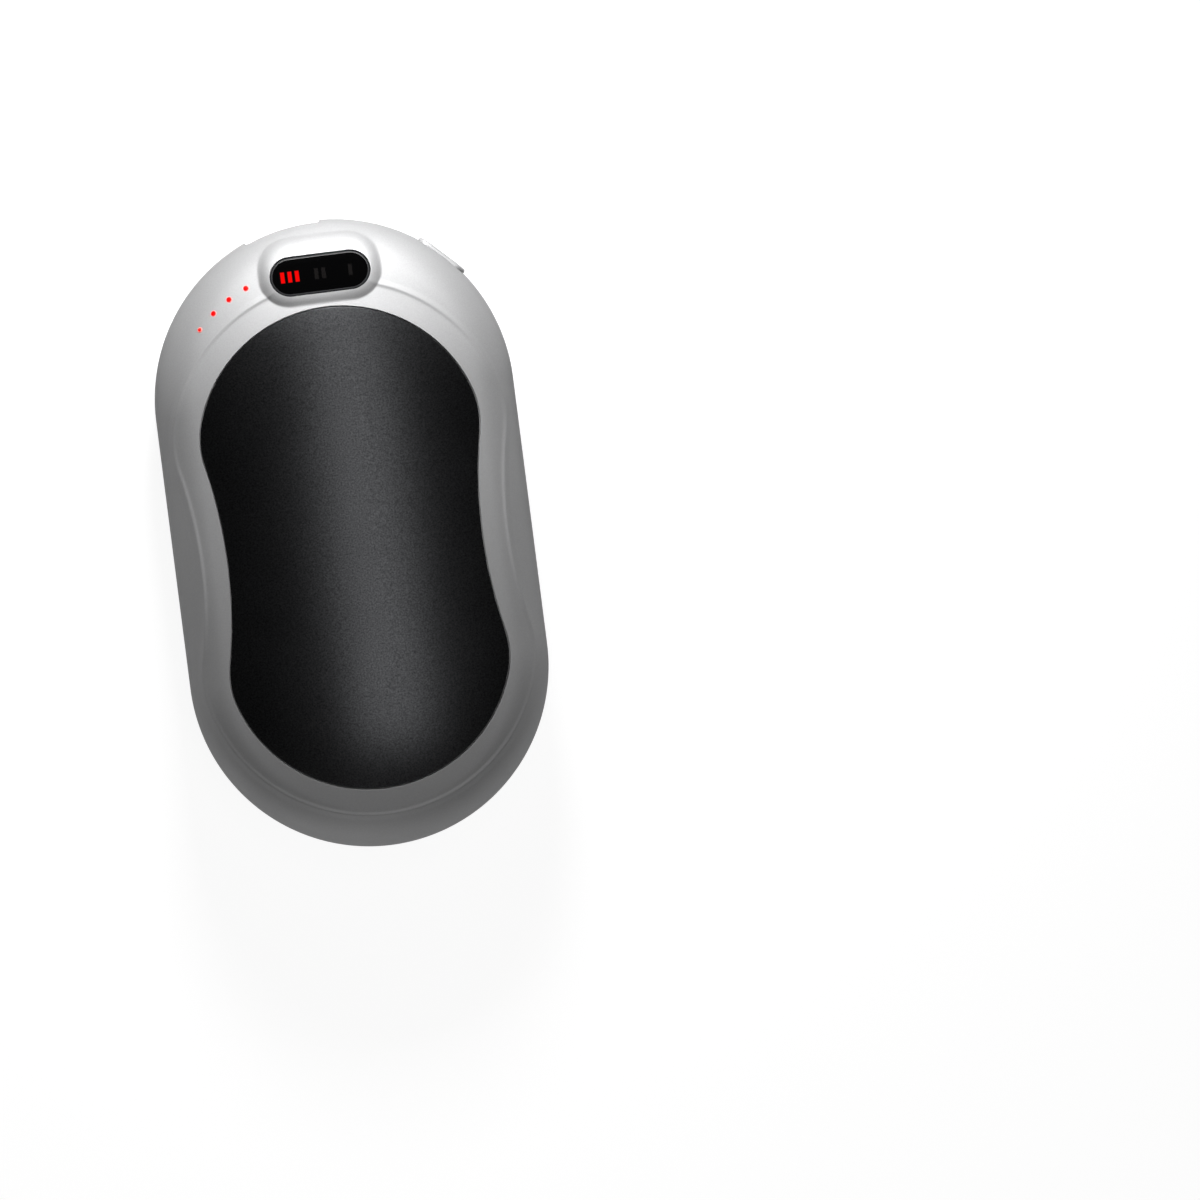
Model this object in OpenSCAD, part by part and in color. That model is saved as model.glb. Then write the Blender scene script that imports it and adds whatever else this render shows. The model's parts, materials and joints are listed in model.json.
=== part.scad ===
// Rechargeable hand warmer: a pebble of two shells with a waisted heating plate on each side.
// The front plate faces +Z, the display end is +Y, and the back rests on a flat land at z = 0.
// All sizes are in millimetres.

/* [Body] */
// Length over both round ends
body_len = 112; // [108:1:120]
// Width across the straight sides
body_w = 64; // [63:1:70]
// Height of each side's crown over the parting plane
crown_h = 13.6; // [13.3:0.1:15]
// Radius of the rounded rim, seen in section
rim_r = 10; // [9:0.5:11]
// Thickness of the plastic shells
wall = 2.6; // [2.4:0.1:2.8]
// Depth that the flat land cuts into the back plate's crown
land_depth = 0.7; // [0.4:0.1:1]
// Height of the tongue that joins the shells
lip_h = 1.2; // [0.8:0.1:1.6]

/* [Heating plates] */
// Width of the rim beyond a plate at the display end
top_rim = 15.8; // [15.2:0.2:16.4]
// Width of the rim beyond a plate at the other end
low_rim = 10.4; // [9.8:0.2:11]
// Width of the rim beside a plate's lobes
side_rim = 7.1; // [6.6:0.1:7.5]
// Depth of a plate's waist on each side
waist_in = 2.2; // [1.7:0.1:2.9]
// Radius of a lobe's side
lobe_r = 14.1; // [13:0.2:15]
// Distance of the lobes' middles past the middle of a half-round end
lobe_past = 2.9; // [2:0.1:3.4]
// Thickness of a plate
plate_t = 0.8; // [0.6:0.1:0.9]
// Depth of the plate's face below the body's outer skin
plate_drop = 0.3; // [0.2:0.05:0.5]
// Gap round a plate
plate_gap = 0.2; // [0.1:0.05:0.3]
// Width of the smooth collar round a plate
collar_w = 4.5; // [3.5:0.1:4.8]
// Step down from the outer skin to the collar
collar_drop = 0.25; // [0.15:0.05:0.4]
// Width of the ring that a plate is glued to
seat_w = 2; // [1.6:0.1:2.2]
// Thickness of the adhesive under a plate's edge
tape_t = 0.15; // [0.1:0.05:0.2]
// Thickness of the heater film
film_t = 0.2; // [0.1:0.05:0.25]
// Thickness of the heater's metal track
track_t = 0.1; // [0.05:0.05:0.15]
// Width of the heater's metal track
track_w = 2.2; // [1.4:0.2:3]
// Distance between two runs of the track
track_pitch = 6; // [5:0.5:6.5]
// Thickness of the insulating pad under the heater
pad_t = 0.4; // [0.2:0.1:0.5]

/* [Display] */
// Length of the display window
window_w = 17.9; // [16.1:0.2:19.9]
// Height of the display window, along its own face
window_h = 7.3; // [6.7:0.2:7.9]
// Distance of the window's middle from the display end
window_in = 9.8; // [9:0.2:10.2]
// Thickness of the window
window_t = 1.6; // [1.2:0.1:1.8]
// Bevel round the window's face
window_bevel = 0.4; // [0.2:0.1:0.5]
// Height of the raised surround over the body's skin
boss_rise = 0.7; // [0.5:0.1:1]
// Width of the surround's flat edge round the window
boss_edge = 0.35; // [0.2:0.05:0.5]
// Width of the surround's bevel
boss_bevel_w = 1.4; // [1:0.1:1.6]
// Height of the surround's bevel
boss_bevel_h = 0.55; // [0.3:0.05:0.6]
// Depth of the window below the surround's edge
window_sink = 0.15; // [0.05:0.05:0.3]
// Ledge that carries the window
window_ledge = 0.8; // [0.6:0.1:1]
// Distance between two groups of level marks
mark_pitch = 5.4; // [5:0.1:5.8]
// Height of a level mark
mark_h = 2; // [1.6:0.1:2.4]
// Width of a level mark
mark_w = 0.7; // [0.5:0.05:0.8]
// Distance between two marks of one group
mark_step = 1.3; // [1.1:0.1:1.5]

/* [Charge lights] */
// Radius of a charge light
light_r = 0.5; // [0.4:0.05:0.7]
// Angle between two charge lights
light_step = 8; // [7:0.2:9]
// Distance of the first charge light's middle from the side of the output socket
light_side = 1.25; // [0.9:0.05:2]

/* [Power button] */
// Length of the button, round the rim
button_w = 10; // [8:0.5:10.4]
// Height of the button
button_h = 4; // [3.4:0.1:4.4]
// Angle of the button from the display end's middle, round the rim
button_angle = 44; // [43:1:50]
// Height of the button over the rim
button_proud = 0.6; // [0.55:0.05:0.8]
// Travel of the button
button_travel = 0.5; // [0.3:0.05:0.5]
// Gap round the button
button_gap = 0.2; // [0.15:0.05:0.3]

/* [Ports] */
// Width of the output socket
out_w = 13.2; // [13:0.1:14]
// Height of the output socket
out_h = 5.8; // [5.6:0.1:6.2]
// Depth of the output socket
out_deep = 14; // [13:0.5:14.5]
// Place of the output socket across the end
out_x = -5.5; // [-6:0.25:-5]
// Width of the charging socket
in_w = 8.9; // [7.5:0.1:9]
// Height of the charging socket
in_h = 3.2; // [2.6:0.1:3.3]
// Depth of the charging socket
in_deep = 7.4; // [6:0.2:7.6]
// Place of the charging socket across the end
in_x = 9.5; // [8.5:0.25:9.5]
// Gap between a socket and the shells
port_gap = 0.25; // [0.15:0.05:0.3]
// Thickness of a socket's sheet metal
port_t = 0.3; // [0.2:0.05:0.4]

/* [Battery] */
// Diameter of a cell
cell_d = 18.3; // [18:0.1:18.4]
// Distance of the cells' positive ends from the display end
cell_top_in = 27.5; // [27:0.25:28.25]
// Distance of the cells' negative ends from the other end
cell_low_in = 19.5; // [19:0.25:20.25]
// Gap between the two cells
cell_gap = 0.9; // [0.5:0.1:1.2]
// Diameter of a battery lead
lead_d = 1.4; // [1:0.1:1.6]
// Thickness of a connecting strip
strip_t = 0.2; // [0.1:0.05:0.3]

/* [Board] */
// Thickness of the main board
board_t = 1.2; // [1:0.1:1.6]
// Gap between the main board and the shell
board_gap = 0.55; // [0.4:0.05:0.8]
// Diameter of a heater lead
wire_d = 1; // [0.6:0.1:1.2]

/* [Screws] */
// Diameter of a case screw
screw_d = 2; // [1.8:0.1:2.2]
// Length of a case screw under its head
screw_len = 12; // [11:0.5:13]
// Diameter of a case screw's head
head_d = 3.6; // [3.2:0.1:3.8]
// Height of a case screw's head
head_h = 1.4; // [1:0.1:1.5]
// Diameter of a board screw
small_d = 1.6; // [1.4:0.1:1.8]
// Length of a board screw under its head
small_len = 3.2; // [2.8:0.1:3.3]
// Diameter of a board screw's head
small_head_d = 3; // [2.6:0.1:3.2]
// Height of a board screw's head
small_head_h = 1; // [0.8:0.1:1.2]

/* [Fits] */
// Gap round a screw, a light pin or an adhesive ring
screw_fit = 0.05; // [0.03:0.01:0.1]
// Gap between inner pieces and what carries them
seat_fit = 0.1; // [0.05:0.05:0.15]

/* [Hidden] */
$fn = 96;
crown_fn = 288;
over = 1;

// Body section: a crown arc that runs into the rim arc, a hair steeper than a tangent would be
end_y = (body_len - body_w) / 2;
rim_c = body_w / 2 - rim_r;
crown_share = 0.99;
crown_r = crown_share * (rim_c * rim_c + crown_h * crown_h - rim_r * rim_r) / (2 * (crown_h - rim_r));
crown_z = crown_h - crown_r;
ray = [rim_c, -crown_z] / norm([rim_c, crown_z]);
mid_z = crown_h - plate_drop - land_depth;

// Depths of the layers under the body's skin
plate_in = plate_drop + plate_t;
seat_in = plate_in + tape_t;
film_in = plate_in + film_t;
track_in = film_in + track_t;
pad_in = track_in + pad_t;

// Waisted outline of a plate: end arcs, lobe arcs and waist arcs that run into each other
plate_len = body_len - top_rim - low_rim;
plate_w = body_w - 2 * side_rim;
plate_shift = (top_rim - low_rim) / 2;
waist_w = plate_w - 2 * waist_in;
lobe_x = plate_w / 2 - lobe_r;
lobe_y = (plate_len - plate_w) / 2 + lobe_past;
waist_d = waist_w / 2 - lobe_x;
waist_r = (waist_d * waist_d + lobe_y * lobe_y - lobe_r * lobe_r) / (plate_w - waist_w);
waist_x = waist_w / 2 + waist_r;
end_in = plate_len / 2 - lobe_r;
plate_end_y = (end_in * end_in - lobe_x * lobe_x - lobe_y * lobe_y) / (2 * (end_in - lobe_y));
plate_end_r = plate_len / 2 - plate_end_y;
end_a = atan2(lobe_y - plate_end_y, lobe_x);
waist_a = -atan2(lobe_y, waist_x - lobe_x);
end_steps = 30;
side_steps = 6;

// Display: a stack of flat pieces, square to the body's skin under the window
window_y = body_len / 2 - window_in;
window_rho = window_y - end_y;
window_z = mid_z + crown_z + sqrt(crown_r * crown_r - window_rho * window_rho);
window_tilt = asin(window_rho / crown_r);
boss_root = 2.2;
window_top = boss_rise - window_sink;
window_foot = window_top - window_t;
stack_w = window_w - 2 * window_ledge - 4 * seat_fit;
stack_h = window_h - 2 * window_ledge - 4 * seat_fit;
mask_t = 0.15;
light_box_t = 2;
display_board_t = 0.8;
mask_foot = window_foot - mask_t;
box_foot = mask_foot - light_box_t;
display_board_foot = box_foot - display_board_t;
chamber_room = 0.3;
chamber_w = 2 * mark_step + mark_w + 2 * chamber_room;
chamber_h = mark_h + 2 * chamber_room;
mark_fit = 0.02;
led_w = 1.6;
led_d = 0.8;
led_h = 0.6;

// Main board: its top carries the sockets, so that the output socket is at the parting plane
board_top = mid_z - out_h / 2;
board_foot = board_top - board_t;
wall_reach = rim_c + sqrt(pow(rim_r - wall, 2) - pow(out_h / 2 + board_t, 2));
board_r = wall_reach - board_gap;
chip_row_share = 0.62;
power_chip_share = 0.36;
coil_share = -0.4;
control_chip_size = [7, 7, 1.2];
power_chip_size = [4, 5, 1.6];
coil_size = [6.5, 6.5, 2.8];
capacitor_size = [1.6, 1, 1];

// Battery
cell_len = body_len - cell_top_in - cell_low_in;
cell_shift = (cell_top_in - cell_low_in) / 2;
cell_x = (cell_d + cell_gap) / 2;
cell_top_y = cell_len / 2 - cell_shift;
cell_low_y = -cell_len / 2 - cell_shift;
cap_h = 0.8;
cap_d = 5.6;
ring_t = 0.3;
tray_wall = 1.4;
tray_stop = 1;
tray_half = cell_x + cell_d / 2 + seat_fit + tray_wall;
tray_top_y = cell_top_y + 2 * strip_t + tray_stop;
tray_low_y = cell_low_y - 2 * strip_t - tray_stop;
tray_drop = 1;
tray_z = mid_z - tray_drop;
strip_w = 7;
strip_len = 28;
board_y = tray_top_y - tray_stop + 2 * seat_fit;

// Case screws: two at each end of the battery, under the back plate
boss_r = 2.8;
post_r = 2.1;
screw_top_x = 10.5;
screw_low_x = 4.5;
screw_top = [screw_top_x, tray_top_y + boss_r + 3 * seat_fit];
screw_low = [screw_low_x, tray_low_y - boss_r - 3 * seat_fit];
screw_places = [[-screw_top[0], screw_top[1]], screw_top, [-screw_low[0], screw_low[1]], screw_low];
counterbore = 2;
boss_step = 1.4;

// Small screws: two hold the board and two hold the battery tray
small_boss_r = 1.9;
lug_r = 2.4;
board_screw_edge = 4.18;
board_screw_in = 5.3;
board_screw_y = board_y + board_screw_in;
board_screw = [sqrt(pow(board_r - board_screw_edge, 2) - pow(board_screw_y - end_y, 2)), board_screw_y];
tray_screw = [tray_half + lug_r + 2 * seat_fit, -cell_shift];

// Sockets
mouth_in = 0.4;
out_mouth = end_y + sqrt(pow(body_w / 2, 2) - pow(abs(out_x) + out_w / 2, 2)) - mouth_in;
in_mouth = end_y + sqrt(pow(body_w / 2, 2) - pow(abs(in_x) + in_w / 2, 2)) - mouth_in;
tongue_t = 1.8;
tongue_side = 0.7;
tongue_front = 1.5;
contact_w = 1;
contact_pitch = 2.3;
contact_t = 0.15;
in_tongue_t = 0.7;

// Power button and its switch, measured from the display end's centre
flange_h = 5.4;
flange_t = 0.7;
flange_side = 0.8;
flange_out = rim_c + sqrt(pow(rim_r - wall, 2) - pow(flange_h / 2, 2)) - 2 * seat_fit;
flange_in = flange_out - flange_t;
stem_len = 0.4;
stem_w = 2.4;
stem_h = 1.4;
plunger_tip = flange_in - stem_len;
plunger_out = 1.2;
plunger_in = 1.4;
plunger_w = 2.6;
plunger_h = 1.6;
switch_front = plunger_tip - plunger_out;
switch_d = 3.6;
switch_w = 6.2;
switch_over = 1.4;
switch_h = out_h / 2 + switch_over;

// Charge lights: a row on the left shoulder, each a little further out than the last
light_out = 3.2;
light_rho = rim_c + light_out;
light_start = asin((out_w / 2 - out_x + light_side) / light_rho);
light_drift = 0.6;
light_count = 4;
guide_bar = 1.2;
guide_w = (light_count - 1) * light_drift + 2 * light_r;
guide_up = 1;

// Leads
wire_in = 5.2;
wire_y = board_y + wire_in;
wire_x = 2.5;
sensor_x = 6.6;
sensor_d = 1.4;
sensor_wire = 0.5;

plastic = "gainsboro";
metal = "silver";

// Height of a depth under the crown over the parting plane, at a place past the straight sides
function under_crown(place, depth) = crown_z
    + sqrt(pow(crown_r - depth, 2) - pow(norm([place[0], abs(place[1]) - end_y]), 2));
function head_seat(place) = under_crown(place, pad_in) - counterbore;
function light_place(i) = let (a = light_start + i * light_step, r = light_rho + i * light_drift)
    [-r * sin(a), end_y + r * cos(a)];
function run_y(x) = plate_end_y + sqrt(pow(plate_end_r - seat_w - track_w, 2) - x * x);

// Half of the body's section, set in from the skin by d: a block whose corner is cut back to both arcs
module section(d) {
    join_x = rim_c + (rim_r - d) * ray[0];
    difference() {
        square([rim_c + 2 * rim_r, 2 * crown_h]);
        difference() {
            square([join_x, 3 * crown_h]);
            translate([0, crown_z]) circle(crown_r - d, $fn = crown_fn);
            translate([rim_c, 0]) circle(rim_r - d);
        }
        difference() {
            translate([join_x, 0]) square([3 * rim_r, 3 * crown_h]);
            translate([rim_c, 0]) circle(rim_r - d);
        }
    }
}

// One side of the body over the parting plane, set in from the skin by d
module dome(d) {
    for (side = [0, 1])
        mirror([0, side, 0]) translate([0, end_y, 0]) rotate_extrude(angle = 180) section(d);
    rotate([90, 0, 0]) linear_extrude(2 * end_y, center = true) {
        section(d);
        mirror([1, 0]) section(d);
    }
}

// The same for the back, whose crown ends in a flat land
module back_dome(d) {
    intersection() {
        dome(d);
        land = mid_z + plate_drop - d;
        translate([-body_w, -body_len, 0]) cube([2 * body_w, 2 * body_len, land]);
    }
}

module side_dome(back, d) {
    if (back) back_dome(d);
    else dome(d);
}

// Puts a piece that is drawn over the parting plane on the front, or mirrored on the back
module on_side(back) {
    translate([0, 0, mid_z]) mirror([0, 0, back ? 1 : 0]) children();
}

// Points along an arc, without its last one
function arc(centre, r, from, to, steps) = [for (i = [0 : steps - 1])
    let (a = from + (to - from) * i / steps) centre + r * [cos(a), sin(a)]];

// Waisted outline, grown by d, from the right upper lobe round to the right waist
module waisted(d) {
    lobe = lobe_r + d;
    end = plate_end_r + d;
    waist = waist_r - d;
    translate([0, -plate_shift]) polygon(concat(
        arc([lobe_x, lobe_y], lobe, waist_a, end_a, side_steps),
        arc([0, plate_end_y], end, end_a, 180 - end_a, end_steps),
        arc([-lobe_x, lobe_y], lobe, 180 - end_a, 180 - waist_a, side_steps),
        arc([-waist_x, 0], waist, -waist_a, waist_a, side_steps),
        arc([-lobe_x, -lobe_y], lobe, 180 + waist_a, 180 + end_a, side_steps),
        arc([0, -plate_end_y], end, 180 + end_a, 360 - end_a, end_steps),
        arc([lobe_x, -lobe_y], lobe, 360 - end_a, 360 - waist_a, side_steps),
        arc([waist_x, 0], waist, 180 - waist_a, 180 + waist_a, side_steps)));
}

module waisted_prism(d) {
    linear_extrude(crown_h + over) waisted(d);
}

// A layer that follows the crown between two depths, inside the waisted outline
module layer(back, d, from, to) {
    intersection() {
        difference() {
            side_dome(back, from);
            side_dome(back, to);
        }
        waisted_prism(d);
    }
}

// Stadium outline of the body, set in by d
module stadium(d) {
    square([body_w - 2 * d, 2 * end_y], center = true);
    for (side = [-1, 1]) translate([0, side * end_y]) circle(body_w / 2 - d);
}

// A pill that stands on z = 0, with its long way along x
module pill(w, h, t) {
    for (side = [-1, 1]) translate([side * (w - h) / 2, 0, 0]) cylinder(h = t, d = h);
    translate([-(w - h) / 2, -h / 2, 0]) cube([w - h, h, t]);
}

// A pill whose sides lean in, from size w by h at its foot to a size less by 2 * lean at its top
module tapered_pill(w, h, t, lean) {
    for (side = [-1, 1]) translate([side * (w - h) / 2, 0, 0])
        cylinder(h = t, r1 = h / 2, r2 = h / 2 - lean);
    rotate([90, 0, 90]) linear_extrude(w - h, center = true)
        polygon([[-h / 2, 0], [h / 2, 0], [h / 2 - lean, t], [lean - h / 2, t]]);
}

// The window's place, with z along the skin's normal
module at_window() {
    translate([0, window_y, window_z]) rotate([-window_tilt, 0, 0]) children();
}

// The button's place on the parting plane, with x round the rim, y inwards and z up
module at_button() {
    translate([0, end_y, mid_z]) rotate([0, 0, 180 - button_angle]) children();
}

// A pill-shaped plug that runs outwards from the button's place
module button_plug(gap) {
    long = flange_t + wall + button_proud + over;
    translate([0, -flange_in, 0]) rotate([90, 0, 0]) pill(button_w + 2 * gap, button_h + 2 * gap, long);
}

// The space round a socket, out through the end
module port_space(x, w, h, mouth) {
    translate([x - w / 2 - port_gap, mouth - 2 * wall, board_top - port_gap])
        cube([w + 2 * port_gap, 4 * wall, h + 2 * port_gap]);
}

module port_spaces() {
    port_space(out_x, out_w, out_h, out_mouth);
    port_space(in_x, in_w, in_h, in_mouth);
}

// Outer skin of a shell, with its step down to the collar
module skin(back) {
    difference() {
        side_dome(back, 0);
        difference() {
            waisted_prism(collar_w);
            side_dome(back, collar_drop);
        }
    }
}

// What both shells leave open: the inside and the two steps of the plate's pocket
module hollow(back) {
    side_dome(back, wall);
    difference() {
        waisted_prism(plate_gap);
        side_dome(back, seat_in);
    }
    difference() {
        waisted_prism(-seat_w);
        side_dome(back, pad_in);
    }
}

// Raised surround of the display: an upright skirt with a bevelled top
module surround() {
    w = window_w + 2 * (boss_edge + boss_bevel_w);
    h = window_h + 2 * (boss_edge + boss_bevel_w);
    at_window() {
        translate([0, 0, -boss_root]) pill(w, h, boss_root + boss_rise - boss_bevel_h);
        translate([0, 0, boss_rise - boss_bevel_h]) tapered_pill(w, h, boss_bevel_h, boss_bevel_w);
    }
}

// Holes in a pocket's floor for the heater leads and the sensor
module lead_holes() {
    for (side = [-1, 1]) translate([side * wire_x, wire_y, 0])
        cylinder(h = crown_h, d = wire_d + 2 * seat_fit);
    translate([sensor_x, wire_y, 0]) cylinder(h = crown_h, d = sensor_d + 2 * seat_fit);
}

module front_shell() {
    color(plastic) difference() {
        union() {
            difference() {
                union() {
                    on_side(false) skin(false);
                    surround();
                }
                on_side(false) {
                    hollow(false);
                    linear_extrude(lip_h + seat_fit) stadium(wall / 2 - seat_fit);
                }
            }
            on_side(false) intersection() {
                dome(wall);
                for (p = screw_places) translate([p[0], p[1], 0]) cylinder(h = crown_h, r = post_r);
            }
        }
        at_window() {
            translate([0, 0, window_foot])
                pill(window_w + 2 * seat_fit, window_h + 2 * seat_fit, window_t + over);
            translate([0, 0, display_board_foot - over])
                pill(stack_w + 2 * seat_fit, stack_h + 2 * seat_fit, window_t + display_board_t + 4 * over);
        }
        on_side(false) {
            lead_holes();
            for (p = screw_places) translate([p[0], p[1], 0])
                cylinder(h = screw_len / 2, d = screw_d + 2 * screw_fit);
            for (i = [0 : light_count - 1]) translate([light_place(i)[0], light_place(i)[1], 0])
                cylinder(h = crown_h, r = light_r + screw_fit);
        }
        port_spaces();
        at_button() button_plug(button_gap);
    }
}

module back_shell() {
    color(plastic) difference() {
        union() {
            on_side(true) {
                difference() {
                    skin(true);
                    hollow(true);
                }
                intersection() {
                    back_dome(wall);
                    union() {
                        for (p = screw_places) translate([p[0], p[1], 0]) {
                            cylinder(h = crown_h, r = post_r);
                            translate([0, 0, mid_z - board_foot + boss_step])
                                cylinder(h = crown_h, r = boss_r);
                        }
                        for (side = [-1, 1], p = [board_screw, tray_screw])
                            translate([side * p[0], p[1], mid_z - board_foot])
                                cylinder(h = crown_h, r = small_boss_r);
                    }
                }
            }
            translate([0, 0, mid_z]) difference() {
                translate([0, 0, -lip_h]) linear_extrude(2 * lip_h) stadium(wall / 2);
                translate([0, 0, -2 * lip_h]) linear_extrude(4 * lip_h) stadium(wall);
                mirror([0, 0, 1]) dome(wall);
            }
        }
        on_side(true) {
            lead_holes();
            for (p = screw_places) translate([p[0], p[1], 0]) {
                translate([0, 0, -over]) cylinder(h = crown_h + over, d = screw_d + 2 * screw_fit);
                translate([0, 0, head_seat(p)]) cylinder(h = crown_h, d = head_d + 4 * seat_fit);
            }
            for (side = [-1, 1], p = [board_screw, tray_screw])
                translate([side * p[0], p[1], mid_z - board_foot - over])
                    cylinder(h = small_len - board_t + seat_fit + over, d = small_d + 2 * screw_fit);
        }
        port_spaces();
        at_button() button_plug(button_gap);
    }
}

module front_plate() {
    color("darkslategray") on_side(false) layer(false, 0, plate_drop, plate_in);
}

module back_plate() {
    color("darkslategray") on_side(true) layer(true, 0, plate_drop, plate_in);
}

module plate_tape(back) {
    color("dimgray") on_side(back) difference() {
        layer(back, -screw_fit, plate_in, seat_in);
        waisted_prism(screw_fit - seat_w);
    }
}

module front_plate_tape() {
    plate_tape(false);
}

module back_plate_tape() {
    plate_tape(true);
}

module heater_film(back) {
    color("darkorange") on_side(back) layer(back, -seat_w - seat_fit, plate_in, film_in);
}

module front_heater_film() {
    heater_film(false);
}

module back_heater_film() {
    heater_film(true);
}

// A straight stretch of track between two places
module track_bar(a, b) {
    low = [min(a[0], b[0]), min(a[1], b[1])];
    high = [max(a[0], b[0]), max(a[1], b[1])];
    translate(low - [track_w, track_w] / 2) square(high - low + [track_w, track_w]);
}

// The track runs up and down each half and crosses over at the low end
module track_outline() {
    near = track_pitch / 2;
    middle = near + track_pitch;
    far = middle + track_pitch;
    turn_low = -run_y(far) + 2 * track_w;
    for (side = [0, 1]) mirror([side, 0]) {
        track_bar([near, wire_y + plate_shift], [near, turn_low]);
        track_bar([near, turn_low], [middle, turn_low]);
        track_bar([middle, turn_low], [middle, run_y(far)]);
        track_bar([middle, run_y(far)], [far, run_y(far)]);
        track_bar([far, run_y(far)], [far, -run_y(far)]);
        track_bar([far, -run_y(far)], [0, -run_y(far)]);
    }
}

module heater_track(back) {
    color("peru") on_side(back) intersection() {
        difference() {
            side_dome(back, film_in);
            side_dome(back, track_in);
        }
        translate([0, -plate_shift, 0]) linear_extrude(crown_h + over) track_outline();
    }
}

module front_heater_track() {
    heater_track(false);
}

module back_heater_track() {
    heater_track(true);
}

module heat_pad(back) {
    color("lightgrey") on_side(back) difference() {
        layer(back, -seat_w - seat_fit, track_in, pad_in);
        lead_holes();
    }
}

module front_heat_pad() {
    heat_pad(false);
}

module back_heat_pad() {
    heat_pad(true);
}

// Two straight leads from a heater track to the main board
module heater_leads(back, foot) {
    color("crimson") on_side(back) intersection() {
        side_dome(back, track_in);
        for (side = [-1, 1]) translate([side * wire_x, wire_y, foot]) cylinder(h = crown_h, d = wire_d);
    }
}

module front_heater_leads() {
    heater_leads(false, board_top - mid_z);
}

module back_heater_leads() {
    heater_leads(true, mid_z - board_foot);
}

// A glass bead under each heater, on two thin legs that reach the main board
module heat_sensors() {
    color("black") for (back = [false, true]) on_side(back) {
        foot = back ? mid_z - board_foot : board_top - mid_z;
        bead = under_crown([sensor_x, wire_y], pad_in) - sensor_d / 2;
        translate([sensor_x, wire_y, bead]) sphere(d = sensor_d);
        for (side = [-1, 1]) translate([sensor_x + side * sensor_wire / 2, wire_y, foot])
            cylinder(h = bead - foot, d = sensor_wire / 2);
    }
}

// A lying cylinder for each cell, grown by a gap
module cell_space(gap) {
    for (side = [-1, 1]) translate([side * cell_x, tray_top_y + over, mid_z]) rotate([90, 0, 0])
        cylinder(h = tray_top_y - tray_low_y + 2 * over, r = cell_d / 2 + gap);
}

module battery_tray() {
    span = tray_top_y - tray_low_y;
    inner = span - 2 * tray_stop;
    color("slategray") difference() {
        union() {
            intersection() {
                on_side(true) back_dome(wall + seat_fit);
                difference() {
                    translate([-tray_half, tray_low_y, 0]) cube([2 * tray_half, span, tray_z]);
                    translate([-cell_x, tray_low_y + tray_stop, mid_z - cell_d / 3])
                        cube([2 * cell_x, inner, cell_d]);
                    for (y = [tray_low_y - over, tray_top_y - tray_stop - over])
                        translate([-body_w / 2, y, board_foot - 2 * seat_fit])
                            cube([body_w, tray_stop + 2 * over, body_w]);
                }
            }
            for (side = [-1, 1]) translate([side * tray_screw[0], tray_screw[1], board_foot]) {
                cylinder(h = board_t, r = lug_r);
                translate([-side * lug_r - lug_r / 2, -lug_r, 0]) cube([lug_r, 2 * lug_r, board_t]);
            }
        }
        for (side = [-1, 1]) translate([side * cell_x, cell_top_y + 2 * strip_t, mid_z]) rotate([90, 0, 0])
            cylinder(h = inner, r = cell_d / 2 + seat_fit);
        for (side = [-1, 1]) translate([side * tray_screw[0], tray_screw[1], board_foot - over])
            cylinder(h = board_t + 2 * over, d = small_d + 2 * screw_fit);
    }
}

module cell(x) {
    groove = 0.4;
    translate([x, cell_low_y, mid_z]) rotate([-90, 0, 0]) difference() {
        union() {
            cylinder(h = cell_len - cap_h, d = cell_d);
            cylinder(h = cell_len, d = cap_d);
        }
        translate([0, 0, cell_len - 4 * cap_h]) difference() {
            cylinder(h = cap_h, d = cell_d + over);
            cylinder(h = cap_h, d = cell_d - 2 * groove);
        }
    }
}

module cell_left() {
    color("royalblue") cell(-cell_x);
}

module cell_right() {
    color("royalblue") cell(cell_x);
}

module cell_rings() {
    color("white") for (side = [-1, 1])
        translate([side * cell_x, cell_top_y - cap_h, mid_z]) rotate([-90, 0, 0]) difference() {
            cylinder(h = ring_t, d = cell_d - 2 * ring_t);
            translate([0, 0, -over]) cylinder(h = 2 * over, d = cap_d + 2 * seat_fit);
        }
}

module positive_strip() {
    color(metal) translate([-strip_len / 2, cell_top_y, mid_z - strip_w / 2])
        cube([strip_len, strip_t, strip_w]);
}

// The negative strip has a tab between the cells, for the lead
module negative_strip() {
    color(metal) translate([-strip_len / 2, cell_low_y - strip_t, mid_z - strip_w / 2]) {
        cube([strip_len, strip_t, strip_w]);
        translate([(strip_len - 2 * lead_d) / 2, 0, 0]) cube([2 * lead_d, strip_t, strip_w + 2 * lead_d]);
    }
}

// Foam strips across the cells, pressed by the front shell
module cell_pads() {
    pad_w = 10;
    pad_grip = 1;
    pad_share = 0.33;
    color("dimgray") for (side = [-1, 1]) difference() {
        intersection() {
            translate([-tray_half + tray_wall, -cell_shift + side * pad_share * cell_len - pad_w / 2,
                mid_z + cell_d / 2 - pad_grip]) cube([2 * (tray_half - tray_wall), pad_w, crown_h]);
            on_side(false) dome(wall + seat_fit);
        }
        cell_space(seat_fit);
    }
}

// A round lead that bends once, from a place, along y and then down
module bent_lead(start, length, drop) {
    translate(start) rotate([-90, 0, 0]) cylinder(h = length, d = lead_d);
    translate(start + [0, length, 0]) sphere(d = lead_d);
    translate(start + [0, length, -drop]) cylinder(h = drop, d = lead_d);
}

module battery_lead_red() {
    start = [cell_x / 2, cell_top_y + strip_t, mid_z + strip_w / 2 - lead_d];
    color("red") bent_lead(start, board_y + lead_d - start[1], start[2] - board_top);
}

module battery_lead_black() {
    start = [0, cell_low_y, mid_z + strip_w / 2 + lead_d];
    color("black") bent_lead(start, board_y + lead_d - start[1], start[2] - board_top);
}

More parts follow.
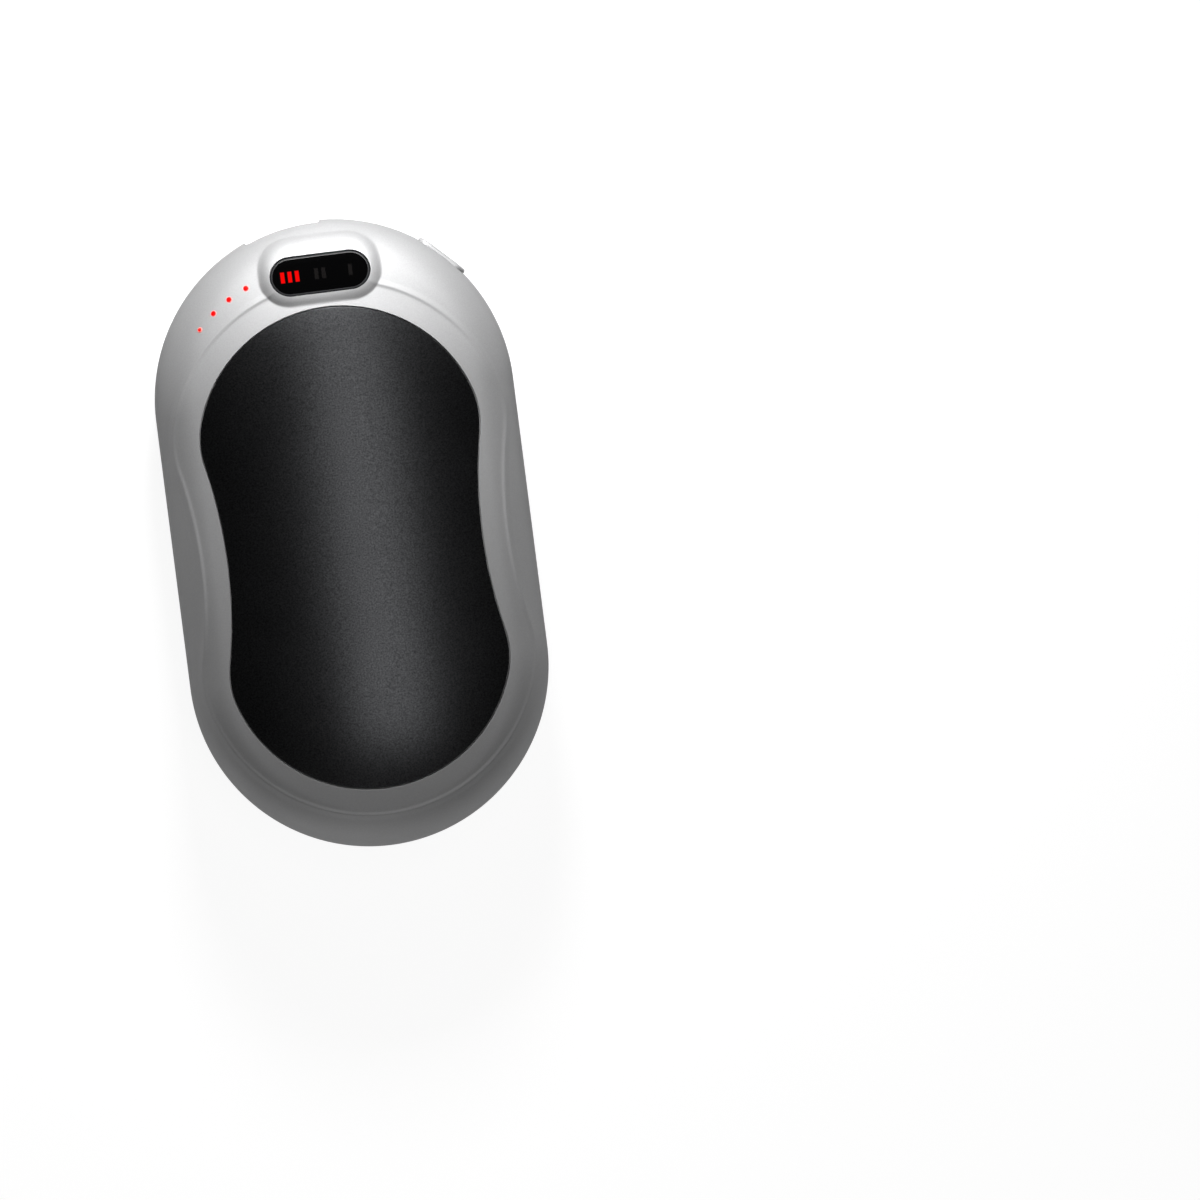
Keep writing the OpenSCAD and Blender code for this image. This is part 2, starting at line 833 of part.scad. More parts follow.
module main_board() {
    color("seagreen") translate([0, 0, board_foot]) difference() {
        intersection() {
            translate([0, end_y, 0]) cylinder(h = board_t, r = board_r);
            translate([-body_w / 2, board_y, -over]) cube([body_w, body_w, board_t + 2 * over]);
        }
        for (side = [-1, 1]) {
            translate([side * screw_top[0], screw_top[1], -over])
                cylinder(h = board_t + 2 * over, r = post_r + 2 * seat_fit);
            translate([side * screw_top[0] - post_r - 2 * seat_fit, board_y - over, -over])
                cube([2 * post_r + 4 * seat_fit, screw_top[1] - board_y + over, board_t + 2 * over]);
            translate([side * board_screw[0], board_screw[1], -over])
                cylinder(h = board_t + 2 * over, d = small_d + 2 * screw_fit);
        }
    }
}

// A part that hangs under the main board, at a share of the board's radius from its middle
module under_board(x_share, size) {
    translate([x_share * board_r - size[0] / 2, end_y + chip_row_share * board_r - size[1] / 2,
        board_foot - size[2]]) cube(size);
}

module control_chip() {
    color("black") under_board(0, control_chip_size);
}

module power_chip() {
    color("black") under_board(power_chip_share, power_chip_size);
}

module boost_coil() {
    color("gray") under_board(coil_share, coil_size);
}

module board_capacitors() {
    size = capacitor_size;
    color("tan") for (i = [-2 : 3])
        translate([(i - 1 / 2) * 2 * size[0] - size[0] / 2, out_mouth - out_deep - 2 * size[1], board_top])
            cube(size);
}

// A sheet-metal box that is open at its mouth
module port_box(x, w, h, deep, mouth) {
    translate([x - w / 2, mouth - deep, board_top]) difference() {
        cube([w, deep, h]);
        translate([port_t, port_t, port_t]) cube([w - 2 * port_t, deep, h - 2 * port_t]);
    }
}

module output_port_shell() {
    color(metal) port_box(out_x, out_w, out_h, out_deep, out_mouth);
}

module output_port_tongue() {
    back_t = 4;
    color("white") translate([out_x, out_mouth - out_deep + port_t, board_top]) {
        translate([-out_w / 2 + port_t, 0, port_t]) cube([out_w - 2 * port_t, back_t, out_h - 2 * port_t]);
        translate([-out_w / 2 + port_t + tongue_side, 0, out_h - port_t - tongue_side - tongue_t])
            cube([out_w - 2 * port_t - 2 * tongue_side, out_deep - tongue_front, tongue_t]);
    }
}

module output_port_contacts() {
    long = 7;
    color("gold") for (i = [-1.5 : 1 : 1.5])
        translate([out_x + i * contact_pitch - contact_w / 2, out_mouth - tongue_front - long,
            board_top + out_h - port_t - tongue_side - tongue_t - contact_t])
            cube([contact_w, long, contact_t]);
}

module charge_port_shell() {
    color(metal) translate([in_x, in_mouth, board_top + in_h / 2]) rotate([90, 0, 0]) difference() {
        pill(in_w, in_h, in_deep);
        translate([0, 0, -port_t]) pill(in_w - 2 * port_t, in_h - 2 * port_t, in_deep);
    }
}

module charge_port_tongue() {
    side = in_h / 2;
    color("black") translate([in_x - in_w / 2 + side, in_mouth - in_deep + port_t,
        board_top + (in_h - in_tongue_t) / 2])
        cube([in_w - 2 * side, in_deep - port_t - tongue_front, in_tongue_t]);
}

module power_switch() {
    color("black") at_button() difference() {
        translate([-switch_w / 2, -switch_front, board_top - mid_z]) cube([switch_w, switch_d, switch_h]);
        translate([-plunger_w / 2 - seat_fit, -switch_front - over, -plunger_h / 2 - seat_fit])
            cube([plunger_w + 2 * seat_fit, over + plunger_in + button_travel + seat_fit,
                plunger_h + 2 * seat_fit]);
    }
}

module switch_plunger() {
    color("ivory") at_button() translate([-plunger_w / 2, -plunger_tip, -plunger_h / 2])
        cube([plunger_w, plunger_out + plunger_in, plunger_h]);
}

// A cap that stands out of the rim, on a flange behind the wall
module power_button() {
    spread = 2 * asin((button_w / 2 + flange_side) / flange_out);
    color(metal) at_button() {
        intersection() {
            button_plug(0);
            rotate([0, 0, button_angle - 180]) translate([0, -end_y, 0]) {
                dome(-button_proud);
                mirror([0, 0, 1]) dome(-button_proud);
            }
        }
        translate([0, 0, -flange_h / 2]) rotate([0, 0, -90 - spread / 2]) rotate_extrude(angle = spread)
            translate([flange_in, 0]) square([flange_t, flange_h]);
        translate([-stem_w / 2, -flange_in - flange_t / 2, -stem_h / 2])
            cube([stem_w, stem_len + flange_t / 2, stem_h]);
    }
}

module display_window() {
    color("black") at_window() translate([0, 0, window_foot]) {
        pill(window_w, window_h, window_t - window_bevel);
        translate([0, 0, window_t - window_bevel])
            tapered_pill(window_w, window_h, window_bevel, window_bevel);
    }
}

// Three groups of upright bars for the three heat levels
module bars(gap, t) {
    for (group = [0 : 2], i = [0 : 2 - group])
        translate([(group - 1) * mark_pitch + (i - (2 - group) / 2) * mark_step, 0, 0])
            translate([-mark_w / 2 - gap, -mark_h / 2 - gap, 0])
                cube([mark_w + 2 * gap, mark_h + 2 * gap, t]);
}

module display_mask() {
    color("dimgray") at_window() translate([0, 0, mask_foot]) difference() {
        pill(stack_w, stack_h, mask_t);
        translate([0, 0, -over]) bars(mark_fit, 2 * over);
    }
}

module level_marks() {
    color("red") at_window() translate([0, 0, mask_foot]) bars(0, mask_t);
}

module display_light_box() {
    color("white") at_window() translate([0, 0, box_foot]) difference() {
        pill(stack_w, stack_h, light_box_t);
        for (group = [-1 : 1]) translate([group * mark_pitch - chamber_w / 2, -chamber_h / 2, -over])
            cube([chamber_w, chamber_h, light_box_t + 2 * over]);
    }
}

module display_leds() {
    color("white") at_window() translate([0, 0, box_foot]) for (group = [-1 : 1])
        translate([group * mark_pitch - led_w / 2, -led_d / 2, 0]) cube([led_w, led_d, led_h]);
}

module display_board() {
    color("seagreen") at_window() translate([0, 0, display_board_foot])
        pill(stack_w, stack_h, display_board_t);
}

// Upright pins between the display board and the main board, beside the output socket
module display_pins() {
    pin = 0.5;
    pitch = 1.27;
    y = window_y - stack_h / 3 - (window_top - display_board_foot) * sin(window_tilt);
    top = window_z + display_board_foot * cos(window_tilt);
    color("gold") for (i = [0 : 3])
        translate([out_x + out_w / 2 + pitch + i * pitch, y, board_top]) cube([pin, pin, top - board_top]);
}

// Four clear pins that end in the skin, joined by a bar inside
module charge_light_guide() {
    color("mistyrose") on_side(false) {
        intersection() {
            dome(screw_fit);
            for (i = [0 : light_count - 1])
                translate([light_place(i)[0], light_place(i)[1], guide_up - 2 * guide_bar])
                    cylinder(h = crown_h, r = light_r);
        }
        translate([0, end_y, guide_up]) rotate([0, 0, 90 + light_start])
            rotate_extrude(angle = (light_count - 1) * light_step)
                translate([light_rho - light_r, 0]) square([guide_w, guide_bar]);
    }
}

module charge_leds() {
    color("white") for (i = [0 : light_count - 1])
        translate([light_place(i)[0], light_place(i)[1], board_top])
            rotate([0, 0, light_start + i * light_step])
                translate([-led_w / 2, -led_d / 2, 0]) cube([led_w, led_d, led_h]);
}

// A round-headed screw that points up, its head's seat at z = 0
module screw(d, length, head, head_height) {
    slot = head / 6;
    cylinder(h = length, d = d);
    difference() {
        translate([0, 0, -head_height]) cylinder(h = head_height, d = head);
        for (turn = [0, 90]) rotate([0, 0, turn]) translate([-head / 3, -slot / 2, -head_height - over])
            cube([2 * head / 3, slot, over + head_height / 2]);
    }
}

module case_screws() {
    color(metal) for (p = screw_places) translate([p[0], p[1], mid_z - head_seat(p)])
        screw(screw_d, screw_len, head_d, head_h);
}

module small_screws() {
    color(metal) for (side = [-1, 1], p = [board_screw, tray_screw])
        translate([side * p[0], p[1], board_top]) mirror([0, 0, 1])
            screw(small_d, small_len, small_head_d, small_head_h);
}

front_shell();
back_shell();
front_plate();
back_plate();
front_plate_tape();
back_plate_tape();
front_heater_film();
back_heater_film();
front_heater_track();
back_heater_track();
front_heat_pad();
back_heat_pad();
front_heater_leads();
back_heater_leads();
heat_sensors();
battery_tray();
cell_left();
cell_right();
cell_rings();
positive_strip();
negative_strip();
cell_pads();
battery_lead_red();
battery_lead_black();
main_board();
control_chip();
power_chip();
boost_coil();
board_capacitors();
output_port_shell();
output_port_tongue();
output_port_contacts();
charge_port_shell();
charge_port_tongue();
power_switch();
switch_plunger();
power_button();
display_window();
display_mask();
level_marks();
display_light_box();
display_leds();
display_board();
display_pins();
charge_light_guide();
charge_leds();
case_screws();
small_screws();
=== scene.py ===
"""Looks of the rechargeable hand warmer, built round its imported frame. Lengths are millimetres until they
become a mesh, which holds metres."""
import math

import bmesh
import bpy
import numpy as np
from mathutils import Matrix, Vector
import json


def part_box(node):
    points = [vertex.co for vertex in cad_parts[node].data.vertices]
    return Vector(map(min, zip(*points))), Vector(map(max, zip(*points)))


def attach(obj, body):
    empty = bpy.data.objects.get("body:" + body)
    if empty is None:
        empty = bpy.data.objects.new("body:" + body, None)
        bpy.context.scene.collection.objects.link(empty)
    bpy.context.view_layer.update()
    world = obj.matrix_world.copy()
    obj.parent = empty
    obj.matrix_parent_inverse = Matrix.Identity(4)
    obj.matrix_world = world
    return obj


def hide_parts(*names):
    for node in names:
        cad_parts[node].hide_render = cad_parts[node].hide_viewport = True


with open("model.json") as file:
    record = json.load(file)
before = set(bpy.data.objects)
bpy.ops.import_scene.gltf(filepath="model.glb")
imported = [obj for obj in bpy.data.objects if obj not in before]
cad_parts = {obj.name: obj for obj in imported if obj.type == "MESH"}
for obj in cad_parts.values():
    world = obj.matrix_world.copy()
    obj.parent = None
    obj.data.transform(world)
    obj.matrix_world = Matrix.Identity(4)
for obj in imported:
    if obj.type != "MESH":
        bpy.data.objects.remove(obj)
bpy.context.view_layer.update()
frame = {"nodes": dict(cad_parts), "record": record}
MM = 0.001


def node_box(name):
    """Lowest and highest corner of a CAD node, in millimetres."""
    low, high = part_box(name)
    return np.array(low) / MM, np.array(high) / MM


# Body: the same driving sizes as the CAD source, and what follows from them
shell_low, shell_high = node_box("front_shell")
body_w = shell_high[0] - shell_low[0]
body_len = -2 * shell_low[1]
lip_h = 1.2
mid_z = node_box("back_shell")[1][2] - lip_h
end_y = (body_len - body_w) / 2
wall = 2.6

# Section of the skin: a crown arc and a rim arc that join smoothly, and lengths along them
crown_h = 13.6
rim_r = 10.0
rim_c = body_w / 2 - rim_r
crown_r = (rim_c ** 2 + crown_h ** 2 - rim_r ** 2) / (2 * (crown_h - rim_r))
crown_z = crown_h - crown_r
join_angle = math.asin(rim_c / (crown_r - rim_r))
join_rho = rim_c + rim_r * math.sin(join_angle)
join_length = crown_r * join_angle
section_length = join_length + rim_r * (math.pi / 2 - join_angle)

# Plates: end, lobe and waist arcs, the gap round them and the collar round that
plate_len, plate_w, waist_w = 85.8, 49.8, 45.4
lobe_y, lobe_r = 20.9, 14.1
plate_shift = 2.7
plate_drop = 0.3
plate_t = 0.8
plate_round = 0.04
plate_gap = 0.2
collar_w = 4.5
collar_drop = 0.04
lobe_x = plate_w / 2 - lobe_r
waist_d = waist_w / 2 - lobe_x
waist_r = (waist_d ** 2 + lobe_y ** 2 - lobe_r ** 2) / (plate_w - waist_w)
waist_x = waist_w / 2 + waist_r
end_in = plate_len / 2 - lobe_r
plate_end_y = (end_in ** 2 - lobe_x ** 2 - lobe_y ** 2) / (2 * (end_in - lobe_y))
plate_end_r = plate_len / 2 - plate_end_y

# Shell wall: rounding at the parting line and at the collar's edge, room under the plate, its seat
parting_round, collar_round, plate_room = 0.14, 0.03, 0.15
seat_steps = (0.9, 2.0)

# Crease round the collar: distance outside the collar's edge and height over the skin. The height
# falls to the share crease_low between the two places along the body.
crease = [(1.2, 0.0), (1.05, 0.015), (0.8, 0.065), (0.55, 0.125), (0.36, 0.168), (0.24, 0.18),
          (0.12, 0.162), (0.0, 0.12), (-0.12, 0.072), (-0.24, 0.034), (-0.36, 0.01), (-0.5, -0.003),
          (-0.65, -0.01)]
crease_low, crease_fade = 0.8, (-45, 0)

# Stations along a straight side, round the display end and round the other end
front_stations, back_stations, plate_stations = (80, 480, 240), (80, 240, 240), (90, 260, 260)
# Loops of the rim, the collar, the inside and a plate, and how they crowd towards an edge
rim_loops, rim_crowding = 50, 1.2
collar_loops, last_collar_loop = 17, 0.99
inner_loops = 14
face_loops, face_crowding, under_loops = 46, 1.6, 8
# Least size that keeps an outline or ring from closing to a point
hair = 0.001

# Display window: its place and tilt on the crown, its pane, and the marks behind it
window_w, window_h, window_t = 17.9, 7.3, 1.6
window_bevel, bevel_depth_share, bevel_crowding = 0.4, 0.8, 0.9
bevel_from, bevel_to = math.radians(12), math.radians(72)
bevel_hold = 0.05
window_y = 46.2
window_rho = window_y - end_y
window_tilt = math.asin(window_rho / crown_r)
window_z = mid_z + crown_z + math.sqrt(crown_r ** 2 - window_rho ** 2)
window_sink = 0.15
pane_gap, pane_cut = 0.06, (-4, 3)
mark_pitch, mark_step, mark_w, mark_h, mark_blur = 5.4, 1.3, 0.7, 2.0, 0.06

# Raised surround: its height at the window, its width at the foot, ends and top, the slope of its
# dome, its softness at the foot and what the shoulder adds, and where round the pill the shoulder is
boss_rise = 0.7
foot_w, end_w, top_w, dome_slope = 1.6, 1.85, 4.4, 0.6
foot_soft, shoulder_soft = 0.1, 0.3
shoulder_start, shoulder_end = (-0.6, 0.2), (0.6, 1.2)
surround_low = 3

# Charge lights: radius, first angle and step round the display end, distance outside the rim arc's
# centre and its growth from light to light, dome, depth, and how much weaker the last one is
light_count, light_r, light_start, light_step = 4, 0.5, 32.0, 8.0
light_out, light_drift = 3.2, 0.6
light_dome, light_deep = 0.1, 5.5
light_gap, light_cut = 0.03, (-4, 2)
weak_light = 1.35

# Button: its place, cap, thumb dish and flange
button_angle = math.radians(44)
button_w, button_h, button_proud, button_gap = 10.0, 4.0, 0.6, 0.2
button_edge, button_hold = 0.45, 1.2
dish_depth, dish_reach = 0.22, 1.7
flange_side, flange_t, flange_keep = 0.8, 0.7, 0.5
button_cut_past = 2

# Ports, from the frame: sheet thickness, room round them, corners of sockets and of their holes, mouths
out_low, out_high = node_box("output_port_shell")
in_low, in_high = node_box("charge_port_shell")
port_t, port_gap = 0.3, 0.25
out_corner, out_hole_corner, out_flare = 0.7, 0.9, 0.18
in_corner, in_hole_corner, in_flare = 1.55, 1.7, 0.1
mouth_round, back_round, least_corner, centre_left = 0.12, 0.2, 0.12, 0.01


def window_place():
    """Matrix from the window's own frame, z along the skin's normal, to the row frame, in millimetres."""
    return Matrix.Translation((0, window_y, window_z)) @ Matrix.Rotation(-window_tilt, 4, "X")


def button_place():
    """The button's place on the parting plane: x round the rim, y outwards, z up."""
    return Matrix.Translation((0, end_y, mid_z)) @ Matrix.Rotation(-button_angle, 4, "Z")


def light_spots():
    """Middle of each charge light on the skin and the skin's normal there."""
    spots = []
    for i in range(light_count):
        angle = math.radians(light_start + i * light_step)
        rho = rim_c + light_out + i * light_drift
        lean = math.asin((rho - rim_c) / rim_r)
        z = mid_z + rim_r * math.cos(lean)
        way = Vector((-math.sin(angle), math.cos(angle), 0))
        spots.append((Vector((0, end_y, 0)) + way * rho + Vector((0, 0, z)),
                      (way * math.sin(lean) + Vector((0, 0, math.cos(lean)))).normalized()))
    return spots


def light_place(spot, normal):
    """Matrix from a charge light's own frame, z along the skin's normal, to the row frame."""
    return Matrix.Translation(spot) @ normal.to_track_quat("Z", "Y").to_matrix().to_4x4()


def lerp(a, b, count, skip_last=False):
    """Even steps from a to b."""
    return np.linspace(a, b, count, endpoint=not skip_last)


def quarter(count):
    """Even angles from zero to a quarter turn, without the zero."""
    return lerp(0, math.pi / 2, count)[1:]


def smooth_step(x, low, high):
    """0 up to low, 1 from high, and a soft rise between them."""
    t = np.clip((x - low) / (high - low), 0, 1)
    return t * t * (3 - 2 * t)


def waist_distance(x, y):
    """Distance of points from a plate's waisted outline, negative inside."""
    x, y = np.abs(x), np.abs(y + plate_shift)
    end_angle = math.atan2(lobe_y - plate_end_y, lobe_x)
    waist_angle = math.atan2(lobe_y, waist_x - lobe_x)
    in_end = np.arctan2(y - plate_end_y, x) > end_angle
    in_waist = np.arctan2(y, waist_x - x) < waist_angle
    lobe = np.hypot(x - lobe_x, y - lobe_y) - lobe_r
    end = np.hypot(x, y - plate_end_y) - plate_end_r
    waist = waist_r - np.hypot(x - waist_x, y)
    return np.where(in_waist & (x < waist_x), waist, np.where(in_end, end, lobe))


def pill_distance(x, y, w, h):
    """Distance of points from a pill w by h, negative inside."""
    return np.hypot(np.maximum(np.abs(x) - (w - h) / 2, 0), y) - h / 2


def stations(straight, top, bottom):
    """Places round the body, counter-clockwise: each one's foot on the spine and outward direction."""
    feet, ways = [], []
    for side, arc in ((1, top), (-1, bottom)):
        for i in range(straight):
            feet.append((0, side * (2 * end_y * i / straight - end_y)))
            ways.append((side, 0))
        for i in range(arc):
            angle = math.pi * i / arc + (0 if side > 0 else math.pi)
            feet.append((0, side * end_y))
            ways.append((math.cos(angle), math.sin(angle)))
    return np.array(feet, float), np.array(ways, float)


def reach(feet, ways, distance, least=2.0, past=3.0, halvings=40):
    """How far along each way the waisted outline, grown by a distance, is met."""
    low, high = np.full(len(feet), least), np.full(len(feet), body_w / 2 + past)
    for _ in range(halvings):
        rho = (low + high) / 2
        inside = waist_distance(*(feet + ways * rho[:, None]).T) < distance
        low, high = np.where(inside, rho, low), np.where(inside, high, rho)
    return (low + high) / 2


def at_angle(angle, on_crown, depth):
    """Distance from the spine and height over the parting plane, at an angle of one of the two arcs."""
    radius = np.where(on_crown, crown_r, rim_r) - depth
    centre = np.where(on_crown, 0, rim_c)
    height = np.where(on_crown, crown_z, 0)
    return centre + radius * np.sin(angle), height + radius * np.cos(angle)


def section(rho, depth):
    """Distance from the spine and height over the parting plane of the skin, set in by depth."""
    rho = np.asarray(rho, float)
    on_crown = rho < join_rho
    angle = np.where(on_crown, np.arcsin(np.clip(rho / crown_r, -1, 1)),
                     np.arcsin(np.clip((rho - rim_c) / rim_r, -1, 1)))
    return at_angle(angle, on_crown, depth)


def arc_length(rho):
    """Length along the section from the crown's middle."""
    angle = np.arcsin(np.clip((rho - rim_c) / rim_r, -1, 1))
    return np.where(rho < join_rho, crown_r * np.arcsin(np.clip(rho / crown_r, -1, 1)),
                    join_length + rim_r * (angle - join_angle))


def along_section(length, depth=0.0):
    """The skin's place at a length along the section, set in by depth."""
    on_crown = length < join_length
    angle = np.where(on_crown, length / crown_r, join_angle + (length - join_length) / rim_r)
    return at_angle(angle, on_crown, depth)


def make_mesh(name, points, faces, sharp_angle=35):
    """A mesh object from points in millimetres."""
    mesh = bpy.data.meshes.new(name)
    mesh.from_pydata((np.asarray(points, float).reshape(-1, 3) * MM).tolist(), [], faces)
    mesh.validate()
    piece = bpy.data.objects.new(name, mesh)
    bpy.context.scene.collection.objects.link(piece)
    tidy_mesh(piece, sharp_angle)
    return piece


def tidy_mesh(piece, sharp_angle, weld=0.0005):
    """Joins doubled points, turns the faces outwards and shades them smooth up to an angle."""
    grid = bmesh.new()
    grid.from_mesh(piece.data)
    bmesh.ops.remove_doubles(grid, verts=grid.verts, dist=weld * MM)
    bmesh.ops.recalc_face_normals(grid, faces=grid.faces)
    grid.to_mesh(piece.data)
    grid.free()
    piece.data.shade_smooth()
    piece.data.set_sharp_from_angle(angle=math.radians(sharp_angle))


def grid_faces(rows, columns, close_columns=False):
    """Quads of a grid of points, row by row, with the last row joined to the first."""
    faces = []
    for i in range(rows):
        k = (i + 1) % rows
        for j in range(columns if close_columns else columns - 1):
            n = (j + 1) % columns
            faces.append((i * columns + j, k * columns + j, k * columns + n, i * columns + n))
    return faces


def placed(points, matrix):
    """Points of a piece's own frame, moved to its place."""
    return np.array([matrix @ Vector(p) for p in points])


def join_meshes(parts):
    """Pairs of points and faces as one pair."""
    points, faces, base = [], [], 0
    for p, f in parts:
        points.append(np.asarray(p, float).reshape(-1, 3))
        faces += [tuple(base + i for i in face) for face in f]
        base += len(points[-1])
    return np.vstack(points), faces


def rounded_outline(w, h, r, steps):
    """Outline of a rectangle w by h with round corners."""
    points = []
    for k, (sx, sy) in enumerate(((1, 1), (-1, 1), (-1, -1), (1, -1))):
        for i in range(steps + 1):
            angle = math.pi / 2 * (k + i / steps)
            x, y = r * math.cos(angle), r * math.sin(angle)
            points.append((sx * (w / 2 - r) + x, sy * (h / 2 - r) + y))
    return points


def prism(outline, low, high):
    """Points and faces of an upright prism over an outline."""
    outline = np.asarray(outline, float)
    count = len(outline)
    points = np.vstack([np.column_stack([outline, np.full(count, z)]) for z in (low, high)])
    faces = [(i, (i + 1) % count, count + (i + 1) % count, count + i) for i in range(count)]
    return points, faces + [tuple(range(count))[::-1], tuple(range(count, 2 * count))]


def pill_rings(w, h, profile, steps=40):
    """Rings of a pill-shaped piece: profile is pairs of distance in from the outline and height."""
    rows = []
    for inset, z in profile:
        r = max(h / 2 - inset, hair)
        ring = []
        for side in (1, -1):
            for i in range(steps + 1):
                angle = math.pi * i / steps - math.pi / 2
                ring.append((side * ((w - h) / 2 + r * math.cos(angle)), side * r * math.sin(angle), z))
        rows.append(ring)
    points = np.array(rows).transpose(1, 0, 2)
    return points.reshape(-1, 3), grid_faces(points.shape[0], points.shape[1])


def shell_points(feet, ways, back):
    """Closed loops round a shell's wall, one for each station: rim, crease, collar, pocket, inside."""
    loops = []

    def add(rho, z):
        loops.append(np.column_stack([feet + ways * rho[:, None], np.broadcast_to(z, rho.shape)]))

    start = arc_length(reach(feet, ways, collar_w + crease[0][0]))
    for share in lerp(1, 0, rim_loops, True):
        add(*along_section(start + (section_length - parting_round - start) * share ** rim_crowding))
    for offset, height in crease:
        rho = reach(feet, ways, collar_w + offset)
        fade = crease_low + (1 - crease_low) * smooth_step(feet[:, 1] + ways[:, 1] * rho, *crease_fade)
        add(*section(rho, -height * fade))
    outer, inner = collar_w + offset, plate_gap + collar_round
    start = -height * fade
    for share in (*lerp(0, 1, collar_loops)[1:-1], last_collar_loop, 1):
        rho = reach(feet, ways, outer + (inner - outer) * share)
        add(*section(rho, start + (collar_drop - start) * share))
    for angle in quarter(7):
        add(*section(reach(feet, ways, plate_gap + collar_round * (1 - math.sin(angle))),
                     collar_drop + collar_round * (1 - math.cos(angle))))
    pocket = plate_drop + plate_t + plate_room
    upright = reach(feet, ways, plate_gap)
    for depth in (pocket * 0.75, pocket):
        add(upright, section(upright, depth)[1])
    for step in seat_steps:
        rho = reach(feet, ways, -step)
        add(*section(rho, pocket))
    start = arc_length(rho)
    for share in lerp(0, 1, inner_loops):
        add(*along_section(start + (section_length - start) * share, wall))
    for inset, z in ((wall / 2, 0), (2 * parting_round, 0), (0.5 * parting_round, 0.35 * parting_round)):
        add(np.full(len(feet), body_w / 2 - inset), z)
    points = np.stack(loops, axis=1)
    points[..., 2] = mid_z - points[..., 2] if back else mid_z + points[..., 2]
    return points


def raise_surround(points):
    """Lifts the skin round the display to a dome that is crisp at its foot and soft at its shoulder."""
    c, s = math.cos(window_tilt), math.sin(window_tilt)
    dy, dz = points[..., 1] - window_y, points[..., 2] - window_z
    across, along, base = points[..., 0], dy * c - dz * s, dy * s + dz * c
    out = pill_distance(across, along, window_w, window_h)
    end_x = np.maximum(np.abs(across) - (window_w - window_h) / 2, 0)
    lean = along / np.maximum(np.hypot(end_x, along), 1e-6)
    width = end_w + np.where(lean > 0, top_w - end_w, foot_w - end_w) * lean ** 2
    share = np.maximum(out, 0) / width
    over = (boss_rise - base) * (1 - dome_slope * share - (1 - dome_slope) * share ** 2)
    shoulder = smooth_step(lean, *shoulder_start) * (1 - smooth_step(lean, *shoulder_end))
    soft = foot_soft + shoulder_soft * shoulder
    mix = np.clip(0.5 + 0.5 * over / soft, 0, 1)
    near = (points[..., 2] > mid_z + surround_low) & (out < 2 * top_w)
    lift = np.where(near, over * mix + soft * mix * (1 - mix), 0)
    points[..., 1] += lift * s
    points[..., 2] += lift * c


def port_cutter(low, high, corner):
    """A plug through the shell's end where a socket has its mouth."""
    w, h = high[0] - low[0] + 2 * port_gap, high[2] - low[2] + 2 * port_gap
    points, faces = prism(rounded_outline(w, h, corner, 10), -2 * wall, 3 * wall)
    place = Matrix.Translation(((low[0] + high[0]) / 2, high[1], (low[2] + high[2]) / 2))
    return placed(points, place @ Matrix.Rotation(-math.pi / 2, 4, "X")), faces


def pill_cutter(w, h, steps, span, place):
    """A plug with round ends, from low to high in its own frame."""
    points, faces = prism(rounded_outline(w, h, h / 2 - hair, steps), *span)
    return placed(points, place), faces


def cutters(front):
    """The openings of a shell as one mesh."""
    w, h = button_w + 2 * button_gap, button_h + 2 * button_gap
    outwards = button_place() @ Matrix.Rotation(-math.pi / 2, 4, "X")
    parts = [port_cutter(out_low, out_high, out_hole_corner),
             port_cutter(in_low, in_high, in_hole_corner),
             pill_cutter(w, h, 16, (rim_c, body_w / 2 + button_cut_past), outwards)]
    if front:
        w, h = window_w + 2 * pane_gap, window_h + 2 * pane_gap
        parts.append(pill_cutter(w, h, 24, pane_cut, window_place()))
        w = 2 * light_r + 2 * light_gap
        parts += [pill_cutter(w, w, 8, light_cut, light_place(*spot)) for spot in light_spots()]
    return join_meshes(parts)


def cut(piece, points, faces):
    """Cuts the openings out of a shell and leaves a plain mesh."""
    cutter = make_mesh("cutter", points, faces)
    modifier = piece.modifiers.new("cut", "BOOLEAN")
    modifier.operation = "DIFFERENCE"
    modifier.solver = "EXACT"
    modifier.object = cutter
    graph = bpy.context.evaluated_depsgraph_get()
    mesh = bpy.data.meshes.new_from_object(piece.evaluated_get(graph))
    piece.modifiers.clear()
    piece.data = mesh
    bpy.data.objects.remove(cutter)
    tidy_mesh(piece, 32)


def make_shell(name, back):
    """A moulded shell with its collar, pocket and openings; the front one has the window's surround."""
    feet, ways = stations(*(back_stations if back else front_stations))
    points = shell_points(feet, ways, back)
    if not back:
        raise_surround(points)
    piece = make_mesh(name, points, grid_faces(points.shape[0], points.shape[1], True))
    cut(piece, *cutters(not back))
    return piece


def make_plate(name, back):
    """A plate whose face follows the crown, with a rounded edge; the back one ends in a flat land."""
    feet, ways = stations(*plate_stations)
    edge = reach(feet, ways, 0.0)
    rows = []

    def add(rho, depth):
        out, z = section(rho, depth)
        rows.append(np.column_stack([feet + ways * out[:, None], z]))

    for share in lerp(0, 1, face_loops):
        add((edge - plate_round) * (1 - (1 - share) ** face_crowding), plate_drop)
    for angle in quarter(6):
        add(edge - plate_round * (1 - math.sin(angle)), plate_drop + plate_round * (1 - math.cos(angle)))
    for share in lerp(1, 0, under_loops):
        add(edge * share, plate_drop + plate_t)
    points = np.stack(rows, axis=1)
    if back:
        points[..., 2] = mid_z - np.minimum(points[..., 2], mid_z - 2 * hair)
    else:
        points[..., 2] += mid_z
    return make_mesh(name, points, grid_faces(points.shape[0], points.shape[1]), 50)


